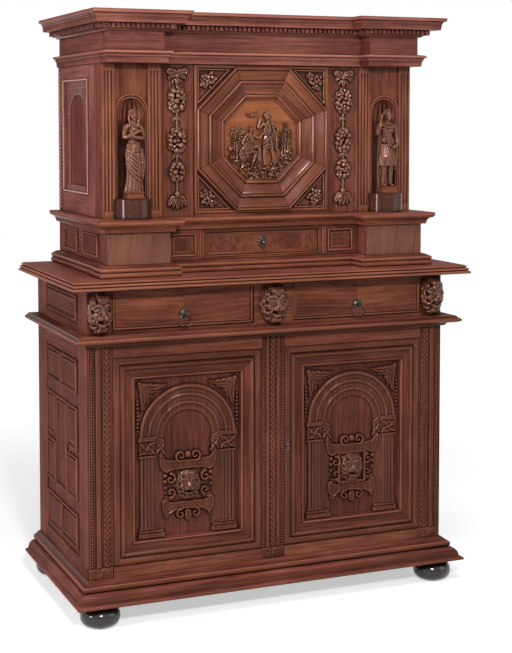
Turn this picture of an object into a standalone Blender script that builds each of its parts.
"""Two-part buffet in carved walnut.

A lower cupboard with two doors and two drawers carries a set-back upper cupboard with
one octagonal door, two figure niches and three small drawers. Metres, +Z up. The front
faces -Y, and the origin lies on the floor under the middle of the table top.
"""
import math

import bmesh
import bpy
from mathutils import Matrix, Vector

# Fits between pieces
CLEAR = 0.0003
PLAY = 0.001
RUNNER_PLAY = 0.0006
BOX_PLAY = 0.002
MERGE = 0.00001

# Heights, from the floor up
FOOT_HEIGHT = 0.072
PLINTH_HEIGHT = 0.074
DOOR_ZONE_HEIGHT = 0.762
WAIST_HEIGHT = 0.037
DRAWER_ZONE_HEIGHT = 0.1515
TABLE_THICKNESS = 0.0305
BASE_BOARD_HEIGHT = 0.039
BASE_HEIGHT = 0.105
LEDGE_HEIGHT = 0.041
BODY_HEIGHT = 0.509
ENTABLATURE_HEIGHT = 0.101
CORNICE_HEIGHT = 0.065

# Lower carcass
LOWER_WIDTH = 1.300
LOWER_DEPTH = 0.631
POST_WIDTH = 0.085
POST_DEPTH = 0.095
CENTRE_POST_WIDTH = 0.083
CENTRE_POST_DEPTH = 0.033
STRIP_WIDTH = 0.018
STRIP_RELIEF = 0.005
RAIL_THICKNESS = 0.046
SILL_HEIGHT = 0.037
HEAD_HEIGHT = 0.0395
DRAWER_RAIL_HEIGHT = 0.011
LOWER_SIDE_THICKNESS = 0.024
LOWER_BACK_THICKNESS = 0.015
DUST_BOARD_THICKNESS = 0.016
DIVIDER_WIDTH = 0.142
GUIDE_WIDTH = 0.040

# Overhangs of the lower mouldings past the carcass, at the sides and at the front
PLINTH_SIDE = 0.057
PLINTH_FRONT = 0.077
PLINTH_RIM = 0.150
PLINTH_BOARD = 0.018
WAIST_SIDE = 0.049
WAIST_FRONT = 0.061
TABLE_SIDE = 0.070
TABLE_FRONT = 0.085

# Bun feet
FOOT_RADIUS = 0.066
FOOT_NECK = 0.034
FOOT_INSET_SIDE = 0.092
FOOT_INSET_FRONT = 0.070

# Raised panels of the lower sides
SIDE_STILE = 0.115
SIDE_FRONT_MARGIN = 0.012
SIDE_RAIL = 0.050
SIDE_GROOVE = 0.012
SIDE_RELIEF = 0.008
SIDE_SMALL_PANEL = 0.105
SIDE_TALL_PANEL = 0.110

# Lower doors
DOOR_THICKNESS = 0.028
DOOR_SETBACK = 0.003
DOOR_BEVEL = 0.004
DOOR_FRAME_WIDTH = 0.078
DOOR_RELIEF = 0.006
DOOR_BED = 0.012
DOOR_PANEL_THICKNESS = 0.013
ARCH_MARGIN = 0.022
ARCH_BAND = 0.058
ARCH_FOOT = 0.018
ARCH_RELIEF = 0.009
CARTOUCHE_WIDTH = 0.190
CARTOUCHE_HEIGHT = 0.215
CARTOUCHE_DROP = 0.085
CARTOUCHE_RELIEF = 0.013
PIVOT_INSET = 0.0075
PIVOT_DEPTH = 0.0055
PIN_RADIUS = 0.003
PIN_CLEARANCE = 0.0005
PIN_REACH = 0.022

# Lock of the right door
LOCK_LENGTH = 0.066
LOCK_HEIGHT = 0.060
LOCK_DEPTH = 0.014
BOLT_LENGTH = 0.074
BOLT_HEIGHT = 0.014
BOLT_THICKNESS = 0.005

# Wide drawers and their pulls
DRAWER_FRONT_THICKNESS = 0.022
DRAWER_FACE_SETBACK = 0.004
DRAWER_BOX_LENGTH = 0.520
DRAWER_WALL = 0.012
DRAWER_TOP_GAP = 0.012
DRAWER_BORDER = 0.016
DRAWER_BEAD = 0.004
PULL_PLATE_RADIUS = 0.019
PULL_PLATE_THICKNESS = 0.003
PULL_DROP = 0.026
EYE_REACH = 0.013
EYE_RADIUS = 0.0065
EYE_HOLE = 0.0040
EYE_WIDTH = 0.005
RING_RADIUS = 0.021
RING_WIRE = 0.0025

# Lion masks
LION_WIDTH = 0.088
LION_HEIGHT = 0.126
LION_DEPTH = 0.060

# Upper carcass
UPPER_WIDTH = 1.136
UPPER_DEPTH = 0.540
UPPER_SIDE_THICKNESS = 0.022
UPPER_BACK_THICKNESS = 0.014
BLOCK_WIDTH = 0.213
BLOCK_PROUD = 0.006
BLOCK_REACH = 0.0765
BASE_SIDE = 0.033
BASE_FRONT = 0.0225
LEDGE_SIDE = 0.037
LEDGE_FRONT = 0.0365
BASE_WALL = 0.020
BASE_POST = 0.035
SMALL_PANEL_WIDTH = 0.097
SMALL_PANEL_RELIEF = 0.004
SMALL_PANEL_MARGIN = 0.014

# Small drawers of the upper base
CENTRE_DRAWER_WIDTH = 0.444
CENTRE_DRAWER_LENGTH = 0.400
SIDE_DRAWER_LENGTH = 0.250
SMALL_DRAWER_FRONT = 0.018
SMALL_DRAWER_WALL = 0.009
SMALL_DRAWER_RAIL = 0.004
SHIELD_WIDTH = 0.032
SHIELD_HEIGHT = 0.052
SHIELD_THICKNESS = 0.003
SHIELD_KNOB = 0.006
SHIELD_KNOB_REACH = 0.014

# Niche units: pilaster, niche panel, pilaster, garland plank
NICHE_UNIT_DEPTH = 0.086
PILASTER_WIDTH = 0.044
PILASTER_RELIEF = 0.010
NICHE_PANEL_WIDTH = 0.114
GARLAND_WIDTH = 0.117
NICHE_RADIUS = 0.0525
NICHE_SPRING = 0.347
NICHE_RINGS = 6
DRUM_RADIUS = 0.064
DRUM_HEIGHT = 0.066
FIGURE_PLINTH_WIDTH = 0.085
FIGURE_PLINTH_DEPTH = 0.054
FIGURE_PLINTH_HEIGHT = 0.023
FIGURE_HEIGHT = 0.263

# Upper door
UPPER_DOOR_THICKNESS = 0.030
UPPER_DOOR_RIM = 0.012
UPPER_DOOR_PROUD = 0.008
UPPER_SILL = 0.007
SPANDREL_SINK = 0.008
OCTAGON_FRAME_WIDTH = 0.108
OCTAGON_RELIEF = 0.013
OCTAGON_BED = 0.012
OCTAGON_PANEL_THICKNESS = 0.012

# Panels of the upper sides
UPPER_PANEL_STILE = 0.070
UPPER_PANEL_HEAD = 0.045
UPPER_PANEL_MOULDING = 0.030
UPPER_PANEL_SINK = 0.010

# Entablature and cornice
FRIEZE_INSET = 0.005
FRIEZE_BLOCK_WIDTH = 0.186
FRIEZE_BLOCK_INSET = 0.007
FRIEZE_BLOCK_REACH = 0.065
ARCHITRAVE_OVERHANG = 0.024
CORNICE_OVERHANG = 0.075
CEILING_THICKNESS = 0.012
TOP_RIM = 0.060

# Levels and planes that follow from the sizes
Z_PLINTH = FOOT_HEIGHT
Z_LOWER = Z_PLINTH + PLINTH_HEIGHT
Z_WAIST = Z_LOWER + DOOR_ZONE_HEIGHT
Z_DRAWERS = Z_WAIST + WAIST_HEIGHT
Z_TABLE = Z_DRAWERS + DRAWER_ZONE_HEIGHT
Z_UPPER = Z_TABLE + TABLE_THICKNESS
Z_BASE = Z_UPPER + BASE_BOARD_HEIGHT
Z_LEDGE = Z_BASE + BASE_HEIGHT
Z_BODY = Z_LEDGE + LEDGE_HEIGHT
Z_ENTABLATURE = Z_BODY + BODY_HEIGHT
Z_CORNICE = Z_ENTABLATURE + ENTABLATURE_HEIGHT
Z_TOP = Z_CORNICE + CORNICE_HEIGHT
Z_SILL = Z_LOWER + SILL_HEIGHT
Z_HEAD = Z_WAIST - HEAD_HEIGHT
Z_DRAWER_FLOOR = Z_DRAWERS + DRAWER_RAIL_HEIGHT
BACK_Y = (LOWER_DEPTH + TABLE_FRONT) / 2
HALF_LOWER = LOWER_WIDTH / 2
HALF_UPPER = UPPER_WIDTH / 2
POST_INNER = HALF_LOWER - POST_WIDTH
PLANK_DEPTH = UPPER_DEPTH - PILASTER_RELIEF
NICHE_UNIT_WIDTH = 2 * PILASTER_WIDTH + NICHE_PANEL_WIDTH + GARLAND_WIDTH
NICHE_CENTRE = HALF_UPPER - PILASTER_WIDTH - NICHE_PANEL_WIDTH / 2
UPPER_DOOR_HALF = HALF_UPPER - NICHE_UNIT_WIDTH - PLAY
SIDES = (("left", -1), ("right", 1))


def deep(depth):
    """Y of the plane that lies this far in front of the back."""
    return BACK_Y - depth


def reach(low, high):
    """A pair of limits in rising order."""
    return (min(low, high), max(low, high))


# Profiles: pairs of height share and reach share, from the bottom up
def bead(low, high, root, tip, steps=4):
    """A half-round nose between two heights."""
    turns = [math.pi * i / steps for i in range(steps + 1)]
    return [(low + (high - low) * (1 - math.cos(t)) / 2, root + (tip - root) * math.sin(t)) for t in turns]


def hollow(low, high, start, end, steps=3):
    """A quarter-round hollow between two heights."""
    turns = [math.pi / 2 * i / steps for i in range(steps + 1)]
    return [(low + (high - low) * math.sin(t), start + (end - start) * (1 - math.cos(t))) for t in turns]


PLINTH_PROFILE = bead(0.0, 0.18, 0.84, 1.0) + hollow(0.22, 0.58, 0.78, 0.36) + bead(0.60, 0.84, 0.34, 0.44)
PLINTH_PROFILE += [(1.0, 0.08)]
WAIST_PROFILE = [(0.0, 0.14)] + hollow(0.08, 0.40, 0.20, 0.78) + bead(0.46, 0.82, 0.84, 1.0) + [(1.0, 0.72)]
TABLE_PROFILE = bead(0.0, 0.36, 0.90, 1.0) + bead(0.37, 0.68, 0.85, 0.93) + bead(0.69, 1.0, 0.76, 0.85)
BASE_PROFILE = bead(0.0, 0.42, 0.84, 1.0) + bead(0.48, 0.80, 0.82, 0.97) + [(1.0, 0.30)]
LEDGE_PROFILE = [(0.0, 0.30)] + hollow(0.06, 0.56, 0.36, 0.80) + [(0.62, 0.86)] + bead(0.68, 1.0, 0.90, 1.0)
ENTABLATURE_PROFILE = [(0.0, 0.42), (0.18, 0.50), (0.20, 0.64), (0.28, 0.72)] + bead(0.29, 0.38, 0.86, 1.0)
ENTABLATURE_PROFILE += [(0.41, 0.0), (1.0, 0.0)]
CORNICE_PROFILE = [(0.0, 0.12), (0.07, 0.18), (0.10, 0.34), (0.34, 0.42), (0.37, 0.78), (0.68, 0.82)]
CORNICE_PROFILE += [(0.73, 0.86), (0.80, 0.96), (0.85, 1.0), (1.0, 1.0)]

# Frame mouldings: pairs of inset share and relief share, from the outer edge in
DOOR_MOULDING = [(0.28, 0.0), (0.31, -0.5), (0.36, 0.7), (0.45, 1.0), (0.52, 0.3), (0.84, -0.3), (0.92, 0.5)]
OCTAGON_MOULDING = [(0.0, 0.35), (0.05, 1.0), (0.14, 0.9), (0.20, 0.45), (0.50, 0.1), (0.56, 0.75)]
OCTAGON_MOULDING += [(0.66, 0.75), (0.74, -0.3), (0.92, -0.45)]
UPPER_PANEL_STEPS = [(0.0, 0.0), (0.3, -0.4), (0.6, -0.5), (1.0, -1.0)]
DRAWER_STEPS = [(0.0, -1.0), (0.5, 0.0), (1.0, 0.5), (1.4, -0.5)]
SMALL_PANEL_STEPS = [(0.0, 0.5), (0.5, 1.0), (1.0, 0.0)]
SMALL_DRAWER_STEPS = [(0.0, -1.0), (0.5, 0.0), (1.0, -1.0)]

# Turned and carved forms: shares of their own sizes
LION_SECTIONS = [(0.0, 0.86, 0.90, 0.0), (0.30, 0.98, 1.0, 0.0), (0.52, 1.0, 0.94, 0.0)]
LION_SECTIONS += [(0.70, 0.78, 0.70, -0.08), (0.88, 0.50, 0.40, -0.22), (1.0, 0.28, 0.20, -0.28)]
FIGURE_SECTIONS = [(0.0, 0.132, 0.092), (0.10, 0.126, 0.090), (0.32, 0.112, 0.086), (0.52, 0.126, 0.090)]
FIGURE_SECTIONS += [(0.64, 0.092, 0.070), (0.76, 0.120, 0.084), (0.83, 0.126, 0.074), (0.865, 0.046, 0.046)]
FIGURE_SECTIONS += [(0.89, 0.050, 0.056), (0.94, 0.064, 0.074), (0.985, 0.046, 0.054), (1.0, 0.018, 0.020)]
FIGURE_ARMS = {
    "left": [[(-0.11, -0.01, 0.80), (-0.17, -0.04, 0.66), (-0.02, -0.10, 0.70)],
             [(0.11, -0.01, 0.80), (0.16, -0.04, 0.64), (0.03, -0.10, 0.60)]],
    "right": [[(-0.11, -0.01, 0.80), (-0.19, -0.05, 0.78), (-0.10, -0.09, 0.95)],
              [(0.11, -0.01, 0.80), (0.17, -0.02, 0.64), (0.13, -0.09, 0.52)]],
}
ARM_RADIUS = 0.0085
SHIELD_SHOULDER = 0.6
SHIELD_HIP = -0.2

# Counts of the steps round curved forms
FOOT_STEPS = 10
ARCH_STEPS = 12
RING_STEPS = 32
WIRE_STEPS = 8

# Scene, groups and finishes
for old in list(bpy.data.objects):
    bpy.data.objects.remove(old, do_unlink=True)
PARTS = bpy.data.collections.new("two_part_buffet")
CUTTERS = bpy.data.collections.new("buffet_cutters")
for group in (PARTS, CUTTERS):
    bpy.context.scene.collection.children.link(group)


def finish(name, colour, roughness, metallic=0.0):
    """A plain finish of one colour."""
    material = bpy.data.materials.new(name)
    material.use_nodes = True
    shader = material.node_tree.nodes["Principled BSDF"]
    shader.inputs["Base Color"].default_value = (*colour, 1.0)
    shader.inputs["Roughness"].default_value = roughness
    shader.inputs["Metallic"].default_value = metallic
    material.diffuse_color = (*colour, 1.0)
    return material


WALNUT = finish("walnut", (0.115, 0.038, 0.020), 0.38)
CARVED = finish("carved_walnut", (0.095, 0.032, 0.018), 0.30)
OAK = finish("plain_oak", (0.23, 0.13, 0.065), 0.65)
EBONISED = finish("ebonised_wood", (0.014, 0.009, 0.008), 0.20)
IRON = finish("dark_iron", (0.030, 0.026, 0.024), 0.45, 0.9)


def place_of(obj):
    """World place of an object whose parents are only shifted."""
    place = Vector((0, 0, 0))
    while obj:
        place += obj.location
        obj = obj.parent
    return place


def attach(obj, place, parent):
    """Put an object at a place in the world under its parent."""
    obj.parent = parent
    obj.location = Vector(place) - place_of(parent)


def marker(name, place, parent=None):
    """An empty for a group or a joint's axis."""
    obj = bpy.data.objects.new(name, None)
    PARTS.objects.link(obj)
    attach(obj, place, parent)
    return obj


def publish(name, bm, material, parent, origin=None, smooth=False):
    """Make a named piece of a mesh that is built in world places."""
    if origin is None:
        low, high = ([f(v.co[i] for v in bm.verts) for i in range(3)] for f in (min, max))
        origin = ((low[0] + high[0]) / 2, (low[1] + high[1]) / 2, low[2])
    bmesh.ops.translate(bm, vec=-Vector(origin), verts=bm.verts)
    mesh = bpy.data.meshes.new(name)
    bm.to_mesh(mesh)
    bm.free()
    if smooth:
        mesh.shade_smooth()
        mesh.set_sharp_from_angle(angle=math.radians(40))
    mesh.materials.append(material)
    obj = bpy.data.objects.new(name, mesh)
    PARTS.objects.link(obj)
    attach(obj, origin, parent)
    return obj


def combine(obj, operation, *operands, solver="EXACT"):
    """Join solids to a piece, or cut them out of it."""
    for bm in operands:
        mesh = bpy.data.meshes.new(obj.name + "_operand")
        bm.to_mesh(mesh)
        bm.free()
        operand = bpy.data.objects.new(mesh.name, mesh)
        operand.hide_render = True
        operand.display_type = "WIRE"
        CUTTERS.objects.link(operand)
        modifier = obj.modifiers.new(operation.lower(), "BOOLEAN")
        modifier.operation = operation
        modifier.solver = solver
        modifier.object = operand
    return obj


# Solids in world places
def box(x, y, z):
    """A box between three pairs of limits."""
    bm = bmesh.new()
    bmesh.ops.create_cube(bm, size=1.0)
    limits = (x, y, z)
    bmesh.ops.scale(bm, vec=[high - low for low, high in limits], verts=bm.verts)
    bmesh.ops.translate(bm, vec=[(high + low) / 2 for low, high in limits], verts=bm.verts)
    return bm


def rod(radius, length, centre, axis="Z", segments=16):
    """A cylinder about a point, along one axis."""
    turn = {"X": Matrix.Rotation(math.pi / 2, 4, "Y"), "Y": Matrix.Rotation(math.pi / 2, 4, "X"),
            "Z": Matrix.Identity(4)}[axis]
    bm = bmesh.new()
    bmesh.ops.create_cone(bm, cap_ends=True, segments=segments, radius1=radius, radius2=radius, depth=length,
                          matrix=Matrix.Translation(centre) @ turn)
    return bm


def ball(radius, centre, segments=20, rings=12):
    """A sphere about a point."""
    bm = bmesh.new()
    bmesh.ops.create_uvsphere(bm, u_segments=segments, v_segments=rings, radius=radius,
                              matrix=Matrix.Translation(centre))
    return bm


def face_frame(normal, place):
    """Maps a flat drawing (u, v, out) on to a face: u runs along X or Y, and v runs up."""
    out = Vector(normal)
    along = Vector((0, 1, 0)) if out.x else Vector((1, 0, 0))
    frame = Matrix((along, Vector((0, 0, 1)), out)).transposed().to_4x4()
    frame.translation = place
    return frame


def front_frame(depth):
    """Drawing plane of a front at a depth from the back: u is X and v is Z."""
    return face_frame((0, -1, 0), (0, deep(depth), 0))


def prism(outlines, thickness, frame=None):
    """Extrude a flat outline, less the outlines of its holes."""
    curve = bpy.data.curves.new("outline", "CURVE")
    curve.dimensions = "2D"
    curve.fill_mode = "BOTH"
    curve.extrude = thickness / 2
    for points in outlines:
        spline = curve.splines.new("POLY")
        spline.points.add(len(points) - 1)
        for point, (u, v) in zip(spline.points, points):
            point.co = (u, v, 0, 1)
        spline.use_cyclic_u = True
    holder = bpy.data.objects.new("outline", curve)
    CUTTERS.objects.link(holder)
    mesh = bpy.data.meshes.new_from_object(holder.evaluated_get(bpy.context.evaluated_depsgraph_get()))
    bm = bmesh.new()
    bm.from_mesh(mesh)
    bmesh.ops.remove_doubles(bm, verts=bm.verts, dist=MERGE)
    bmesh.ops.translate(bm, vec=(0, 0, thickness / 2), verts=bm.verts)
    if frame:
        bmesh.ops.transform(bm, matrix=frame, verts=bm.verts)
    bmesh.ops.recalc_face_normals(bm, faces=bm.faces)
    bpy.data.objects.remove(holder)
    bpy.data.meshes.remove(mesh)
    return bm


def loft(loops, frame=None, ring=False):
    """Skin a row of loops with equal counts, closed by caps or into a ring."""
    bm = bmesh.new()
    rows = [[bm.verts.new(point) for point in loop] for loop in loops]
    for near, far in zip(rows, rows[1:] + rows[:1] if ring else rows[1:]):
        for i in range(len(near)):
            bm.faces.new((near[i - 1], near[i], far[i], far[i - 1]))
    if not ring:
        bm.faces.new(rows[0])
        bm.faces.new(rows[-1])
    if frame:
        bmesh.ops.transform(bm, matrix=frame, verts=bm.verts)
    bmesh.ops.recalc_face_normals(bm, faces=bm.faces)
    return bm


def rectangle(u, v, inset=0.0):
    """Corners of a rectangle, drawn in by an inset."""
    return [(u[0] + inset, v[0] + inset), (u[1] - inset, v[0] + inset),
            (u[1] - inset, v[1] - inset), (u[0] + inset, v[1] - inset)]


def raised(points, out):
    """The flat points of a drawing at a height out of its plane."""
    return [(u, v, out) for u, v in points]


def moulded_board(u, v, thickness, steps, frame):
    """A board whose face runs in through (inset, out) steps to a flat field."""
    loops = [raised(rectangle(u, v), -thickness)]
    loops += [raised(rectangle(u, v, inset), out) for inset, out in steps]
    return loft(loops, frame)


def moulded_ring(u, v, thickness, steps, frame):
    """A rectangular frame with moulded face, open in the middle."""
    loops = [raised(rectangle(u, v), -thickness)]
    loops += [raised(rectangle(u, v, inset), out) for inset, out in steps]
    loops += [raised(rectangle(u, v, steps[-1][0]), -thickness)]
    return loft(loops, frame, ring=True)


def octagon(u, v, inset=0.0):
    """An octagon that touches the sides of a rectangle, drawn in by an inset."""
    centre_u, centre_v = sum(u) / 2, sum(v) / 2
    half_u, half_v = (u[1] - u[0]) / 2 - inset, (v[1] - v[0]) / 2 - inset
    share = math.tan(math.pi / 8)
    corners = [(1, -share), (1, share), (share, 1), (-share, 1)]
    corners += [(-a, -b) for a, b in corners]
    return [(centre_u + half_u * a, centre_v + half_v * b) for a, b in corners]


def ellipse(centre, radii, count=16):
    """Points round an ellipse."""
    turns = [2 * math.pi * i / count for i in range(count)]
    return [(centre[0] + radii[0] * math.cos(t), centre[1] + radii[1] * math.sin(t)) for t in turns]


def plain_outline(half_width, depth):
    """Plan of a board with straight sides."""
    left = [(-half_width, BACK_Y), (-half_width, deep(depth))]
    return left + [(-x, y) for x, y in reversed(left)]


def stepped_outline(half_width, depth, block_inner, block_outer, block_depth):
    """Plan of a board with a block that steps forward near each end."""
    left = [(-half_width, BACK_Y), (-half_width, deep(depth)), (-block_outer, deep(depth)),
            (-block_outer, deep(block_depth)), (-block_inner, deep(block_depth)), (-block_inner, deep(depth))]
    return left + [(-x, y) for x, y in reversed(left)]


def spread(outline, side, front):
    """Move the sides and the fronts of a plan outwards, and leave its back."""
    moved = []
    for i, (x, y) in enumerate(outline):
        before, after = outline[i - 1], outline[(i + 1) % len(outline)]
        runs = [(x - before[0], y - before[1]), (after[0] - x, after[1] - y)]
        for run_x, run_y in runs:
            if abs(run_y) > abs(run_x):
                x += math.copysign(side, run_y)
            elif run_x > 0:
                y -= front
        moved.append((x, y))
    return moved


def moulded_slab(outline, profile, low, high, side, front):
    """A board with a moulded edge that follows its plan."""
    loops = [raised(spread(outline, side * out, front * out), low + (high - low) * up) for up, out in profile]
    return loft(loops)


def tube(points, radius):
    """A round limb through a few points."""
    curve = bpy.data.curves.new("limb", "CURVE")
    curve.dimensions = "3D"
    curve.bevel_depth = radius
    curve.bevel_resolution = 2
    curve.use_fill_caps = True
    spline = curve.splines.new("POLY")
    spline.points.add(len(points) - 1)
    for point, place in zip(spline.points, points):
        point.co = (*place, 1)
    holder = bpy.data.objects.new("limb", curve)
    CUTTERS.objects.link(holder)
    mesh = bpy.data.meshes.new_from_object(holder.evaluated_get(bpy.context.evaluated_depsgraph_get()))
    bm = bmesh.new()
    bm.from_mesh(mesh)
    bmesh.ops.remove_doubles(bm, verts=bm.verts, dist=MERGE)
    bmesh.ops.recalc_face_normals(bm, faces=bm.faces)
    bpy.data.objects.remove(holder)
    bpy.data.meshes.remove(mesh)
    return bm


LOWER = marker("lower_part", (0, 0, 0))
UPPER = marker("upper_part", (0, deep(UPPER_DEPTH / 2), Z_UPPER))


def build_feet():
    """Four turned bun feet under the plinth's corners."""
    height = FOOT_HEIGHT - CLEAR
    turns = [math.pi * i / FOOT_STEPS for i in range(FOOT_STEPS + 1)]
    swell = FOOT_RADIUS - FOOT_NECK
    profile = [(0.0, height)]
    profile += [(FOOT_NECK + swell * math.sin(t), height * (1 + math.cos(t)) / 2) for t in turns]
    profile += [(0.0, 0.0)]
    front_y = deep(LOWER_DEPTH + PLINTH_FRONT) + FOOT_INSET_FRONT
    back_y = BACK_Y - FOOT_RADIUS
    for side, sign in SIDES:
        for row, y in (("front", front_y), ("back", back_y)):
            name = f"foot_{row}_{side}"
            mesh = bpy.data.meshes.new(name)
            steps = range(len(profile) - 1)
            mesh.from_pydata([(r, 0, z) for r, z in profile], [(i, i + 1) for i in steps], [])
            mesh.materials.append(EBONISED)
            foot = bpy.data.objects.new(name, mesh)
            PARTS.objects.link(foot)
            spin = foot.modifiers.new("spin", "SCREW")
            spin.steps = spin.render_steps = 24
            spin.use_merge_vertices = True
            spin.merge_threshold = MERGE
            spin.use_smooth_shade = True
            attach(foot, (sign * (HALF_LOWER + PLINTH_SIDE - FOOT_INSET_SIDE), y, 0), LOWER)


def build_plinth():
    """The moulded board on the feet, hollowed from below."""
    outline = plain_outline(HALF_LOWER, LOWER_DEPTH)
    slab = moulded_slab(outline, PLINTH_PROFILE, Z_PLINTH, Z_LOWER - CLEAR, PLINTH_SIDE, PLINTH_FRONT)
    plinth = publish("plinth", slab, WALNUT, LOWER)
    half = HALF_LOWER + PLINTH_SIDE - PLINTH_RIM
    cavity_y = (deep(LOWER_DEPTH + PLINTH_FRONT) + PLINTH_RIM, BACK_Y - PLINTH_RIM)
    combine(plinth, "DIFFERENCE", box((-half, half), cavity_y, (0, Z_LOWER - PLINTH_BOARD)))


def post_section(inner, outer, depth):
    """Plan of a post with two bead strips and a fillet between them on its face."""
    width = outer - inner
    gap = (width - 3 * STRIP_WIDTH) / 4
    face, sunk = deep(LOWER_DEPTH), deep(LOWER_DEPTH - STRIP_RELIEF)
    points = [(inner, deep(LOWER_DEPTH - depth)), (inner, sunk)]
    for i in range(3):
        start = inner + gap + i * (gap + STRIP_WIDTH)
        points += [(start, sunk), (start, face), (start + STRIP_WIDTH, face), (start + STRIP_WIDTH, sunk)]
    return points + [(outer, sunk), (outer, deep(LOWER_DEPTH - depth))]


def build_posts():
    """The front corner posts and the fixed post between the doors."""
    tall = Z_TABLE - CLEAR - Z_LOWER
    lift = Matrix.Translation((0, 0, Z_LOWER))
    for side, sign in SIDES:
        section = post_section(*reach(sign * POST_INNER, sign * HALF_LOWER), POST_DEPTH)
        publish(f"corner_post_{side}", prism([section], tall, lift), WALNUT, LOWER)
    section = post_section(-CENTRE_POST_WIDTH / 2, CENTRE_POST_WIDTH / 2, CENTRE_POST_DEPTH)
    publish("centre_post", prism([section], Z_DRAWERS - CLEAR - Z_LOWER, lift), WALNUT, LOWER)


def side_panels(y, z):
    """Outlines of the raised panels that fill a side's field."""
    low_y, high_y = y[0] + SIDE_GROOVE, y[1] - SIDE_GROOVE
    low_z, high_z = z[0] + SIDE_GROOVE, z[1] - SIDE_GROOVE
    mid_y, mid_z, half = (low_y + high_y) / 2, (low_z + high_z) / 2, SIDE_GROOVE / 2
    top_z, bottom_z = high_z - SIDE_SMALL_PANEL, low_z + SIDE_SMALL_PANEL
    core = (mid_y - SIDE_TALL_PANEL / 2, mid_y + SIDE_TALL_PANEL / 2)
    arm_top, arm_bottom = top_z - SIDE_GROOVE, bottom_z + SIDE_GROOVE
    core_top, core_bottom = arm_top - SIDE_SMALL_PANEL, arm_bottom + SIDE_SMALL_PANEL
    shapes = [rectangle(core, (core_bottom, core_top))]
    for edge, inner, middle in ((low_y, core[0], mid_y - half), (high_y, core[1], mid_y + half)):
        inward = math.copysign(SIDE_GROOVE, edge - mid_y)
        for low, high in ((top_z, high_z), (low_z, bottom_z)):
            shapes.append(rectangle(reach(edge, middle), (low, high)))
        for tip, elbow, foot in ((arm_top, core_top + SIDE_GROOVE, mid_z + half),
                                 (arm_bottom, core_bottom - SIDE_GROOVE, mid_z - half)):
            shapes.append([(edge, foot), (edge, tip), (middle, tip), (middle, elbow),
                           (inner + inward, elbow), (inner + inward, foot)])
    return shapes


def build_lower_sides():
    """Panelled sides and the back of the lower carcass."""
    y = (deep(LOWER_DEPTH - POST_DEPTH) + CLEAR, BACK_Y)
    field_y = (y[0] + SIDE_FRONT_MARGIN, y[1] - SIDE_STILE)
    z = (Z_LOWER, Z_TABLE - CLEAR)
    field_z = (Z_LOWER + SIDE_RAIL, Z_WAIST - SIDE_RAIL)
    drawer_z = (Z_DRAWERS + SIDE_RAIL / 2, Z_TABLE - SIDE_RAIL / 2)
    for side, sign in SIDES:
        board = box(reach(sign * (HALF_LOWER - LOWER_SIDE_THICKNESS), sign * HALF_LOWER), y, z)
        panel = publish(f"lower_side_{side}", board, WALNUT, LOWER)
        sunk = reach(sign * (HALF_LOWER - SIDE_RELIEF), sign * (HALF_LOWER + PLAY))
        combine(panel, "DIFFERENCE", box(sunk, field_y, field_z), box(sunk, field_y, drawer_z))
        frame = face_frame((sign, 0, 0), (sign * (HALF_LOWER - 2 * SIDE_RELIEF), 0, 0))
        shapes = side_panels(field_y, field_z) + [rectangle(field_y, drawer_z, SIDE_GROOVE)]
        combine(panel, "UNION", *[prism([shape], 2 * SIDE_RELIEF - PLAY, frame) for shape in shapes])
    half = HALF_LOWER - LOWER_SIDE_THICKNESS - CLEAR
    publish("lower_back", box((-half, half), (BACK_Y - LOWER_BACK_THICKNESS, BACK_Y), z), OAK, LOWER)


def build_rails():
    """The sill, and the bearer that closes the cupboard and carries the drawers."""
    half = POST_INNER - CLEAR
    y = (deep(LOWER_DEPTH), deep(LOWER_DEPTH - RAIL_THICKNESS))
    notch_x = (-CENTRE_POST_WIDTH / 2 - CLEAR, CENTRE_POST_WIDTH / 2 + CLEAR)
    notch_y = (y[0] - PLAY, deep(LOWER_DEPTH - CENTRE_POST_DEPTH) + CLEAR)
    sill = publish("sill_rail", box((-half, half), y, (Z_LOWER, Z_SILL - PLAY)), WALNUT, LOWER)
    combine(sill, "DIFFERENCE", box(notch_x, notch_y, (Z_PLINTH, Z_SILL)))
    wide = HALF_LOWER - LOWER_SIDE_THICKNESS - CLEAR
    tongue = half - RAIL_THICKNESS
    behind_posts, back_y = deep(LOWER_DEPTH - POST_DEPTH) + CLEAR, BACK_Y - LOWER_BACK_THICKNESS - CLEAR
    floor_z = (Z_DRAWER_FLOOR - DUST_BOARD_THICKNESS, Z_DRAWER_FLOOR - CLEAR)
    tongue_y = (y[1] - RAIL_THICKNESS / 2, behind_posts + RAIL_THICKNESS)
    divider_z = (floor_z[0] + 2 * CLEAR, Z_TABLE - CLEAR)
    bearer = publish("drawer_bearer", box((-half, half), y, (Z_HEAD, Z_DRAWER_FLOOR)), WALNUT, LOWER)
    combine(bearer, "UNION",
            box((-tongue, tongue), tongue_y, (floor_z[0] + CLEAR, floor_z[1] - CLEAR)),
            box((-wide, wide), (behind_posts, back_y), floor_z),
            box((-DIVIDER_WIDTH / 2, DIVIDER_WIDTH / 2), (y[0] + CLEAR, y[1] - CLEAR), divider_z),
            box((-GUIDE_WIDTH / 2, GUIDE_WIDTH / 2), (y[1] - RAIL_THICKNESS / 4, back_y - CLEAR), divider_z))
    combine(bearer, "DIFFERENCE", box(notch_x, notch_y, (Z_LOWER, Z_DRAWERS)))


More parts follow.
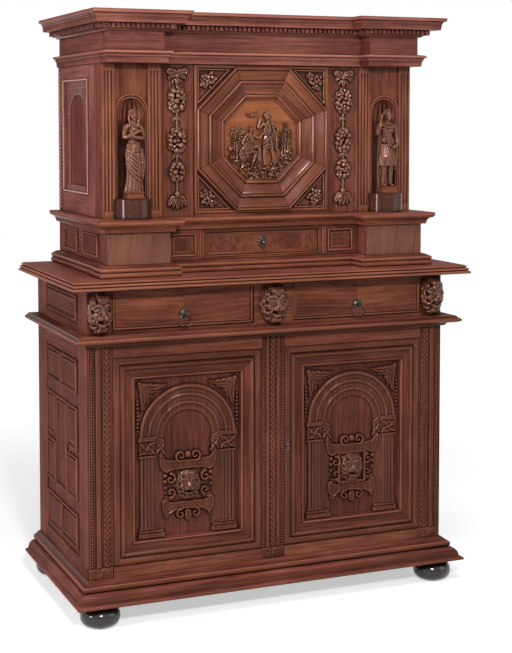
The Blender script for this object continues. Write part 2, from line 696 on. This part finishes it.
def build_waist():
    """The moulding that wraps the front and the sides between doors and drawers."""
    inner_x, inner_y = HALF_LOWER + CLEAR, deep(LOWER_DEPTH) - CLEAR
    loops = []
    for x_sign, at_front in ((-1, False), (-1, True), (1, True), (1, False)):
        loop = []
        for up, out in [(0.0, 0.0)] + WAIST_PROFILE + [(1.0, 0.0)]:
            y = inner_y - WAIST_FRONT * out if at_front else BACK_Y
            loop.append((x_sign * (inner_x + WAIST_SIDE * out), y, Z_WAIST + WAIST_HEIGHT * up))
        loops.append(loop)
    publish("waist_moulding", loft(loops), WALNUT, LOWER)


def arch_outline(u, v):
    """Band of an arch on two legs, inside a rectangle."""
    centre, outer = sum(u) / 2, (u[1] - u[0]) / 2 - ARCH_MARGIN
    spring = v[1] - ARCH_MARGIN - outer
    turns = [math.pi * i / ARCH_STEPS for i in range(ARCH_STEPS + 1)]
    points = []
    for radius, order in ((outer, turns), (outer - ARCH_BAND, turns[::-1])):
        arc = [(centre + radius * math.cos(t), spring + radius * math.sin(t)) for t in order]
        points += [(arc[0][0], v[0] + ARCH_FOOT)] + arc + [(arc[-1][0], v[0] + ARCH_FOOT)]
    return points


def build_lower_doors():
    """Two carved doors on iron pivot pins, and the lock of the right one."""
    z = (Z_SILL, Z_HEAD - PLAY)
    face = LOWER_DEPTH - DOOR_SETBACK
    frame = front_frame(face)
    steps = [(0.0, -DOOR_BEVEL), (DOOR_BEVEL, 0.0)]
    steps += [(DOOR_FRAME_WIDTH * inset, DOOR_RELIEF * out) for inset, out in DOOR_MOULDING]
    steps += [(DOOR_FRAME_WIDTH, -DOOR_BED)]
    pivot_y = deep(face - PIVOT_DEPTH)
    panel_depth = face - DOOR_THICKNESS + DOOR_PANEL_THICKNESS
    lock_edge = CENTRE_POST_WIDTH / 2 + PLAY
    for side, sign in SIDES:
        x = reach(sign * (POST_INNER - PLAY), sign * lock_edge)
        axis = (sign * (POST_INNER - PLAY - PIVOT_INSET), pivot_y)
        hinge = marker(f"door_axis_{side}", (*axis, z[0]), LOWER)
        ring = moulded_ring(x, z, DOOR_THICKNESS, steps, frame)
        door = publish(f"door_frame_{side}", ring, WALNUT, hinge, (*axis, z[0]))
        bore = PIN_RADIUS + PIN_CLEARANCE
        for end, level, rail in (("bottom", Z_SILL, "sill_rail"), ("top", Z_HEAD, "drawer_bearer")):
            hole = (bore, 2 * (PIN_REACH + CLEAR), (*axis, level))
            combine(door, "DIFFERENCE", rod(*hole))
            combine(bpy.data.objects[rail], "DIFFERENCE", rod(*hole))
            pin = rod(PIN_RADIUS, 2 * PIN_REACH, (*axis, level))
            publish(f"door_pin_{side}_{end}", pin, IRON, LOWER, smooth=True)
        opening = [(low + DOOR_FRAME_WIDTH + CLEAR, high - DOOR_FRAME_WIDTH - CLEAR) for low, high in (x, z)]
        board = moulded_board(*opening, DOOR_PANEL_THICKNESS, [(0.0, 0.0)], front_frame(panel_depth))
        panel = publish(f"door_panel_{side}", board, CARVED, hinge, (*axis, z[0]))
        sunk = front_frame(panel_depth - CLEAR)
        middle_u, middle_v = sum(opening[0]) / 2, sum(opening[1]) / 2 - CARTOUCHE_DROP
        plate = rectangle((middle_u - CARTOUCHE_WIDTH / 2, middle_u + CARTOUCHE_WIDTH / 2),
                          (middle_v - CARTOUCHE_HEIGHT / 2, middle_v + CARTOUCHE_HEIGHT / 2))
        combine(panel, "UNION", prism([arch_outline(*opening)], ARCH_RELIEF, sunk),
                prism([plate], CARTOUCHE_RELIEF, sunk))
    build_lock(bpy.data.objects["door_axis_right"], lock_edge, sum(z) / 2)


def build_lock(hinge, edge_x, level):
    """A rim lock behind the right door's inner stile; its bolt slides behind the post."""
    back = deep(LOWER_DEPTH - DOOR_SETBACK - DOOR_THICKNESS) + CLEAR
    case_x = (edge_x + PLAY, edge_x + PLAY + LOCK_LENGTH)
    case_z = (level - LOCK_HEIGHT / 2, level + LOCK_HEIGHT / 2)
    case = publish("lock_case", box(case_x, (back, back + LOCK_DEPTH), case_z), IRON, hinge, place_of(hinge))
    bolt_y = (back + LOCK_DEPTH / 2 - BOLT_THICKNESS / 2, back + LOCK_DEPTH / 2 + BOLT_THICKNESS / 2)
    bolt_z = (level - BOLT_HEIGHT / 2, level + BOLT_HEIGHT / 2)
    slot = [(low - 2 * CLEAR, high + 2 * CLEAR) for low, high in (bolt_y, bolt_z)]
    combine(case, "DIFFERENCE", box((case_x[0] - PLAY, case_x[1] + PLAY), *slot))
    bolt = box((case_x[0], case_x[0] + BOLT_LENGTH), bolt_y, bolt_z)
    slide = marker("bolt_axis", (case_x[0], bolt_y[0], bolt_z[0]), hinge)
    publish("lock_bolt", bolt, IRON, slide, place_of(slide))


def open_box(x, y, z, wall, open_front=False):
    """A drawer box without lid and the space in it; a separate front can close its near end."""
    inside_y = (y[0] - wall if open_front else y[0] + wall, y[1] - wall)
    return box(x, y, z), box((x[0] + wall, x[1] - wall), inside_y, (z[0] + wall, z[1] + wall))


def build_wide_drawers():
    """Two drawers under the table top, each with a ring pull."""
    face = LOWER_DEPTH - DRAWER_FACE_SETBACK
    z = (Z_DRAWER_FLOOR + RUNNER_PLAY, Z_TABLE - PLAY)
    steps = [(DRAWER_BORDER * inset, DRAWER_BEAD * out) for inset, out in DRAWER_STEPS]
    pull_z = sum(z) / 2 - PULL_DROP
    for side, sign in SIDES:
        x = reach(sign * (DIVIDER_WIDTH / 2 + PLAY), sign * (POST_INNER - PLAY))
        slide = marker(f"drawer_axis_{side}", (sum(x) / 2, deep(face), z[0]), LOWER)
        front = moulded_board(x, z, DRAWER_FRONT_THICKNESS, steps, front_frame(face))
        publish(f"drawer_front_{side}", front, WALNUT, slide, place_of(slide))
        box_y = deep(face - DRAWER_FRONT_THICKNESS) + CLEAR
        limits = ((x[0] + BOX_PLAY, x[1] - BOX_PLAY), (box_y, box_y + DRAWER_BOX_LENGTH),
                  (z[0], z[1] - DRAWER_TOP_GAP))
        shell, cavity = open_box(*limits, DRAWER_WALL, open_front=True)
        combine(publish(f"drawer_box_{side}", shell, OAK, slide, place_of(slide)), "DIFFERENCE", cavity)
        build_ring_pull(side, slide, sum(x) / 2, pull_z, deep(face + steps[-1][1]))


def build_ring_pull(side, slide, x, z, face_y):
    """A round plate with an eye, and the ring that hangs in it."""
    seat = face_y - CLEAR
    plate_y = seat - PULL_PLATE_THICKNESS / 2
    disc = rod(PULL_PLATE_RADIUS, PULL_PLATE_THICKNESS, (x, plate_y, z), "Y", 20)
    plate = publish(f"pull_plate_{side}", disc, IRON, slide, place_of(slide), smooth=True)
    eye_y = seat - EYE_REACH
    half = EYE_WIDTH / 2
    stem = box((x - half + CLEAR, x + half - CLEAR), (eye_y, plate_y), (z - half, z + half))
    combine(plate, "UNION", stem, rod(EYE_RADIUS, EYE_WIDTH, (x, eye_y, z), "X", 20))
    combine(plate, "DIFFERENCE", rod(EYE_HOLE, 2 * EYE_WIDTH, (x, eye_y, z), "X", 20))
    hang = (x, eye_y, z - (EYE_HOLE - RING_WIRE - 2 * CLEAR))
    swing = marker(f"ring_axis_{side}", hang, slide)
    middle = Vector((x, eye_y, hang[2] - RING_RADIUS))
    wire = ellipse((RING_RADIUS, 0.0), (RING_WIRE, RING_WIRE), WIRE_STEPS)
    loops = []
    for i in range(RING_STEPS):
        turn = 2 * math.pi * i / RING_STEPS
        out = Vector((math.sin(turn), 0, math.cos(turn)))
        loops.append([middle + out * u + Vector((0, v, 0)) for u, v in wire])
    publish(f"pull_ring_{side}", loft(loops, ring=True), IRON, swing, hang, smooth=True)


def build_lions():
    """Three lion masks in front of the drawer dividers."""
    frame = front_frame(LOWER_DEPTH + CLEAR)
    level = (Z_DRAWERS + Z_TABLE) / 2
    corner = (HALF_LOWER + POST_INNER) / 2
    for name, x in (("left", -corner), ("centre", 0.0), ("right", corner)):
        loops = []
        for out, wide, tall, shift in LION_SECTIONS:
            centre = (x, level + shift * LION_HEIGHT / 2)
            ring = ellipse(centre, (wide * LION_WIDTH / 2, tall * LION_HEIGHT / 2))
            loops.append(raised(ring, out * LION_DEPTH))
        publish(f"lion_{name}", loft(loops, frame), CARVED, LOWER, smooth=True)


def build_table_top():
    """The reeded table top."""
    outline = plain_outline(HALF_LOWER, LOWER_DEPTH)
    slab = moulded_slab(outline, TABLE_PROFILE, Z_TABLE, Z_UPPER - CLEAR, TABLE_SIDE, TABLE_FRONT)
    publish("table_top", slab, WALNUT, LOWER)


def build_upper_base():
    """Base board, base carcase and pedestal blocks of the upper part."""
    block_outer = HALF_UPPER + BLOCK_PROUD
    block_inner = block_outer - BLOCK_WIDTH
    outline = stepped_outline(HALF_UPPER, UPPER_DEPTH, block_inner, block_outer, UPPER_DEPTH + BLOCK_REACH)
    board = moulded_slab(outline, BASE_PROFILE, Z_UPPER, Z_BASE - CLEAR, BASE_SIDE, BASE_FRONT)
    publish("upper_base_board", board, WALNUT, UPPER)
    ledge = moulded_slab(outline, LEDGE_PROFILE, Z_LEDGE, Z_BODY - CLEAR, LEDGE_SIDE, LEDGE_FRONT)
    ledge = publish("ledge", ledge, WALNUT, UPPER)
    sill_half = UPPER_DOOR_HALF + PLAY - CLEAR
    sill_y = (deep(PLANK_DEPTH), deep(PLANK_DEPTH + UPPER_DOOR_PROUD - UPPER_DOOR_THICKNESS))
    sill_z = (Z_LEDGE + LEDGE_HEIGHT / 2, Z_BODY + UPPER_SILL)
    combine(ledge, "UNION", box((-sill_half, sill_half), sill_y, sill_z))
    z = (Z_BASE, Z_LEDGE - CLEAR)
    back = box((-HALF_UPPER, HALF_UPPER), (BACK_Y - BASE_WALL, BACK_Y), z)
    carcase = publish("base_carcase", back, WALNUT, UPPER)
    opening = CENTRE_DRAWER_WIDTH / 2 + PLAY
    inner_z = (z[0] + CLEAR, z[1] - CLEAR)
    for side, sign in SIDES:
        x = reach(sign * opening, sign * HALF_UPPER)
        wall = box(x, (deep(UPPER_DEPTH), deep(UPPER_DEPTH - BASE_WALL)), z)
        divider = box(reach(sign * (opening + CLEAR), sign * (opening + BASE_WALL)),
                      (deep(UPPER_DEPTH - BASE_WALL / 2), BACK_Y - BASE_WALL / 2), inner_z)
        rear_post = box(reach(sign * (HALF_UPPER - BASE_WALL), sign * (HALF_UPPER - CLEAR)),
                        (BACK_Y - BASE_POST, BACK_Y - CLEAR), inner_z)
        middle = (opening + block_inner) / 2
        u = reach(sign * (middle - SMALL_PANEL_WIDTH / 2), sign * (middle + SMALL_PANEL_WIDTH / 2))
        v = (z[0] + SMALL_PANEL_MARGIN, z[1] - SMALL_PANEL_MARGIN)
        steps = [(SMALL_PANEL_MARGIN * inset, SMALL_PANEL_RELIEF * out) for inset, out in SMALL_PANEL_STEPS]
        border = moulded_ring(u, v, SMALL_PANEL_RELIEF, steps, front_frame(UPPER_DEPTH))
        combine(carcase, "UNION", wall, divider, rear_post, border)
        block = box(reach(sign * block_inner, sign * block_outer),
                    (deep(UPPER_DEPTH + BLOCK_REACH), deep(UPPER_DEPTH) - CLEAR), z)
        publish(f"base_block_{side}", block, WALNUT, UPPER)


def small_drawer(name, slide, front, limits):
    """A small drawer: a moulded front and its box in one joined piece."""
    shell, cavity = open_box(*limits, SMALL_DRAWER_WALL)
    drawer = publish(name, front, WALNUT, slide, place_of(slide))
    combine(drawer, "UNION", shell)
    combine(drawer, "DIFFERENCE", cavity)


def build_small_drawers():
    """The centre drawer with its shield pull, and the drawers in the sides."""
    z = (Z_BASE + RUNNER_PLAY, Z_LEDGE - PLAY)
    box_z = (z[0] + CLEAR, z[1] - SMALL_DRAWER_WALL)
    steps = [(SMALL_PANEL_MARGIN * inset, SMALL_DRAWER_RAIL * out) for inset, out in SMALL_DRAWER_STEPS]
    overlap = SMALL_DRAWER_FRONT / 2 + PLAY
    half = CENTRE_DRAWER_WIDTH / 2
    slide = marker("centre_drawer_axis", (0, deep(UPPER_DEPTH), z[0]), UPPER)
    front = moulded_board((-half, half), z, SMALL_DRAWER_FRONT, steps, front_frame(UPPER_DEPTH))
    start = deep(UPPER_DEPTH) + overlap
    limits = ((-half + BOX_PLAY, half - BOX_PLAY), (start, start + CENTRE_DRAWER_LENGTH), box_z)
    small_drawer("centre_drawer", slide, front, limits)
    build_shield(slide, deep(UPPER_DEPTH - SMALL_DRAWER_RAIL), sum(z) / 2)
    y = (deep(UPPER_DEPTH - BASE_WALL) + PLAY, BACK_Y - BASE_POST - PLAY)
    for side, sign in SIDES:
        slide = marker(f"side_drawer_axis_{side}", (sign * HALF_UPPER, sum(y) / 2, z[0]), UPPER)
        frame = face_frame((sign, 0, 0), (sign * HALF_UPPER, 0, 0))
        front = moulded_board(y, z, SMALL_DRAWER_FRONT, steps, frame)
        start = HALF_UPPER - overlap
        x = reach(sign * start, sign * (start - SIDE_DRAWER_LENGTH))
        limits = (x, (y[0] + BOX_PLAY, y[1] - BOX_PLAY), box_z)
        small_drawer(f"side_drawer_{side}", slide, front, limits)


def build_shield(slide, face_y, level):
    """A small shield plate with a knob on the centre drawer."""
    half, tall = SHIELD_WIDTH / 2, SHIELD_HEIGHT / 2
    shoulder, hip = level + tall * SHIELD_SHOULDER, level + tall * SHIELD_HIP
    outline = [(-half, shoulder), (-half, hip), (0, level - tall)]
    outline += [(half, hip), (half, shoulder), (0, level + tall)]
    frame = face_frame((0, -1, 0), (0, face_y - CLEAR, 0))
    shield = publish("centre_pull", prism([outline], SHIELD_THICKNESS, frame), IRON, slide, place_of(slide))
    stem_y = face_y - CLEAR - SHIELD_THICKNESS / 2
    stem = rod(SHIELD_KNOB / 2, SHIELD_KNOB_REACH, (0, stem_y - SHIELD_KNOB_REACH / 2, level), "Y")
    combine(shield, "UNION", stem, ball(SHIELD_KNOB, (0, stem_y - SHIELD_KNOB_REACH, level), 16, 10))


def build_upper_walls():
    """Panelled sides and the back of the upper cupboard."""
    y = (deep(UPPER_DEPTH - NICHE_UNIT_DEPTH) + CLEAR, BACK_Y)
    z = (Z_BODY, Z_ENTABLATURE - CLEAR)
    field_y = (y[0] + UPPER_PANEL_STILE, y[1] - UPPER_PANEL_STILE)
    field_z = (z[0] + UPPER_PANEL_STILE, z[1] - UPPER_PANEL_HEAD)
    loops = [raised(rectangle(y, z), -UPPER_SIDE_THICKNESS), raised(rectangle(y, z), 0.0)]
    for inset, out in UPPER_PANEL_STEPS:
        border = rectangle(field_y, field_z, UPPER_PANEL_MOULDING * inset)
        loops.append(raised(border, UPPER_PANEL_SINK * out))
    for side, sign in SIDES:
        frame = face_frame((sign, 0, 0), (sign * HALF_UPPER, 0, 0))
        publish(f"upper_side_{side}", loft(loops, frame), WALNUT, UPPER)
    half = HALF_UPPER - UPPER_SIDE_THICKNESS - CLEAR
    publish("upper_back", box((-half, half), (BACK_Y - UPPER_BACK_THICKNESS, BACK_Y), z), OAK, UPPER)


def build_niches():
    """Niche units with their drums and figures."""
    face, sunk, back = deep(UPPER_DEPTH), deep(PLANK_DEPTH), deep(UPPER_DEPTH - NICHE_UNIT_DEPTH)
    edges = [HALF_UPPER, HALF_UPPER - PILASTER_WIDTH, NICHE_CENTRE - NICHE_PANEL_WIDTH / 2]
    edges += [edges[-1] - PILASTER_WIDTH, HALF_UPPER - NICHE_UNIT_WIDTH]
    plan = [(edges[0], back), (edges[0], face), (edges[1], face), (edges[1], sunk), (edges[2], sunk),
            (edges[2], face), (edges[3], face), (edges[3], sunk), (edges[4], sunk), (edges[4], back)]
    drum_top = Z_BODY + DRUM_HEIGHT
    spring = Z_BODY + NICHE_SPRING
    for side, sign in SIDES:
        x = sign * NICHE_CENTRE
        section = [(sign * u, v) for u, v in plan]
        unit = prism([section], BODY_HEIGHT - CLEAR, Matrix.Translation((0, 0, Z_BODY)))
        niche = publish(f"niche_unit_{side}", unit, WALNUT, UPPER)
        rounds = [math.pi / 2 * i / NICHE_RINGS for i in range(NICHE_RINGS)]
        levels = [(1.0, drum_top)] + [(math.cos(t), spring + NICHE_RADIUS * math.sin(t)) for t in rounds]
        middle = (x, sunk - PLAY)
        hollow_loops = [raised(ellipse(middle, (NICHE_RADIUS * share,) * 2, 24), up) for share, up in levels]
        combine(niche, "DIFFERENCE", loft(hollow_loops), solver="MANIFOLD")
        drum_z = (Z_BODY, drum_top - CLEAR)
        drum = rod(DRUM_RADIUS, drum_z[1] - drum_z[0], (x, face - CLEAR, sum(drum_z) / 2), segments=32)
        cut = bmesh.ops.bisect_plane(drum, geom=drum.verts[:] + drum.edges[:] + drum.faces[:], dist=MERGE,
                                     plane_co=(x, face - CLEAR, 0), plane_no=(0, 1, 0), clear_outer=True)
        bmesh.ops.edgeloop_fill(drum, edges=[e for e in cut["geom_cut"] if isinstance(e, bmesh.types.BMEdge)])
        bmesh.ops.recalc_face_normals(drum, faces=drum.faces)
        pedestal = publish(f"drum_{side}", drum, EBONISED, UPPER, smooth=True)
        tongue = NICHE_PANEL_WIDTH / 2 - CLEAR
        combine(pedestal, "UNION", box((x - tongue, x + tongue), (face - PLAY, sunk - CLEAR),
                                       (drum_z[0] + CLEAR, drum_z[1] - CLEAR)))
        build_figure(side, x, sunk - CLEAR, drum_top)


def build_figure(side, x, wall_y, foot_z):
    """A draped standing figure on a small plinth, with two arms."""
    half = FIGURE_PLINTH_WIDTH / 2
    centre_y = wall_y - FIGURE_PLINTH_DEPTH / 2
    hem = foot_z + FIGURE_PLINTH_HEIGHT
    loops = []
    for up, wide, thick in FIGURE_SECTIONS:
        ring = ellipse((x, centre_y), (wide * FIGURE_HEIGHT, thick * FIGURE_HEIGHT), 14)
        loops.append(raised(ring, hem - MERGE * 10 + up * FIGURE_HEIGHT))
    figure = publish(f"figure_{side}", loft(loops), CARVED, UPPER, smooth=True)
    plinth = box((x - half, x + half), (centre_y - FIGURE_PLINTH_DEPTH / 2, wall_y - CLEAR), (foot_z, hem))
    limbs = []
    foot = Vector((x, centre_y, hem))
    for path in FIGURE_ARMS[side]:
        limbs.append(tube([foot + FIGURE_HEIGHT * Vector(spot) for spot in path], ARM_RADIUS))
    combine(figure, "UNION", plinth, *limbs)


def build_upper_door():
    """The octagonal door on its right-hand pivot pins."""
    half = UPPER_DOOR_HALF
    x = (-half, half)
    z = (Z_BODY + UPPER_SILL + PLAY, Z_ENTABLATURE - PLAY)
    rim = PLANK_DEPTH + UPPER_DOOR_PROUD
    axis = (half - PIVOT_INSET, deep(rim - PIVOT_DEPTH))
    hinge = marker("upper_door_axis", (*axis, z[0]), UPPER)
    frame = front_frame(rim)
    steps = [(0.0, -DOOR_BEVEL), (DOOR_BEVEL, 0.0), (UPPER_DOOR_RIM, 0.0), (UPPER_DOOR_RIM, -SPANDREL_SINK)]
    board = moulded_board(x, z, UPPER_DOOR_THICKNESS, steps, frame)
    door = publish("upper_door_frame", board, WALNUT, hinge, (*axis, z[0]))
    ring_u = (x[0] + PIVOT_INSET, x[1] - PIVOT_INSET)
    ring_v = (z[0] + PIVOT_INSET, z[1] - PIVOT_INSET)
    bed = UPPER_DOOR_THICKNESS - PLAY
    loops = [raised(octagon(ring_u, ring_v), -bed)]
    for inset, out in OCTAGON_MOULDING:
        loops.append(raised(octagon(ring_u, ring_v, OCTAGON_FRAME_WIDTH * inset), OCTAGON_RELIEF * out))
    loops += [raised(octagon(ring_u, ring_v, OCTAGON_FRAME_WIDTH), out) for out in (-OCTAGON_BED, -bed)]
    hole = octagon(ring_u, ring_v, OCTAGON_FRAME_WIDTH)
    through = prism([hole], 2 * UPPER_DOOR_THICKNESS, front_frame(rim - 1.5 * UPPER_DOOR_THICKNESS))
    combine(door, "UNION", loft(loops, frame, ring=True))
    combine(door, "DIFFERENCE", through)
    bore = PIN_RADIUS + PIN_CLEARANCE
    for end, level, neighbour in (("bottom", z[0], "ledge"), ("top", z[1], "entablature")):
        hole_size = (bore, 2 * (PIN_REACH + CLEAR), (*axis, level))
        combine(door, "DIFFERENCE", rod(*hole_size))
        combine(bpy.data.objects[neighbour], "DIFFERENCE", rod(*hole_size))
        publish(f"upper_pin_{end}", rod(PIN_RADIUS, 2 * PIN_REACH, (*axis, level)), IRON, UPPER, smooth=True)
    field = octagon(ring_u, ring_v, OCTAGON_FRAME_WIDTH + CLEAR)
    loops = [raised(field, out) for out in (0.0, OCTAGON_PANEL_THICKNESS)]
    panel = loft(loops, front_frame(rim - UPPER_DOOR_THICKNESS))
    publish("upper_door_panel", panel, CARVED, hinge, (*axis, z[0]))


def build_crown():
    """Entablature and cornice, hollow inside, with blocks over the niches."""
    half = HALF_UPPER - FRIEZE_INSET
    block_outer = HALF_UPPER - FRIEZE_BLOCK_INSET
    outline = stepped_outline(half, UPPER_DEPTH, block_outer - FRIEZE_BLOCK_WIDTH, block_outer,
                              UPPER_DEPTH + FRIEZE_BLOCK_REACH)
    inside_x = (-half + TOP_RIM, half - TOP_RIM)
    inside_y = (deep(UPPER_DEPTH) + TOP_RIM, BACK_Y - TOP_RIM)
    slab = moulded_slab(outline, ENTABLATURE_PROFILE, Z_ENTABLATURE, Z_CORNICE - CLEAR,
                        ARCHITRAVE_OVERHANG, ARCHITRAVE_OVERHANG)
    frieze = publish("entablature", slab, WALNUT, UPPER)
    combine(frieze, "DIFFERENCE", box(inside_x, inside_y, (Z_ENTABLATURE + CEILING_THICKNESS, Z_TOP)))
    slab = moulded_slab(outline, CORNICE_PROFILE, Z_CORNICE, Z_TOP, CORNICE_OVERHANG, CORNICE_OVERHANG)
    cornice = publish("cornice", slab, WALNUT, UPPER)
    combine(cornice, "DIFFERENCE", box(inside_x, inside_y, (Z_ENTABLATURE, Z_TOP - CEILING_THICKNESS)))


build_feet()
build_plinth()
build_posts()
build_lower_sides()
build_rails()
build_waist()
build_lower_doors()
build_wide_drawers()
build_lions()
build_table_top()
build_upper_base()
build_small_drawers()
build_upper_walls()
build_niches()
build_crown()
build_upper_door()
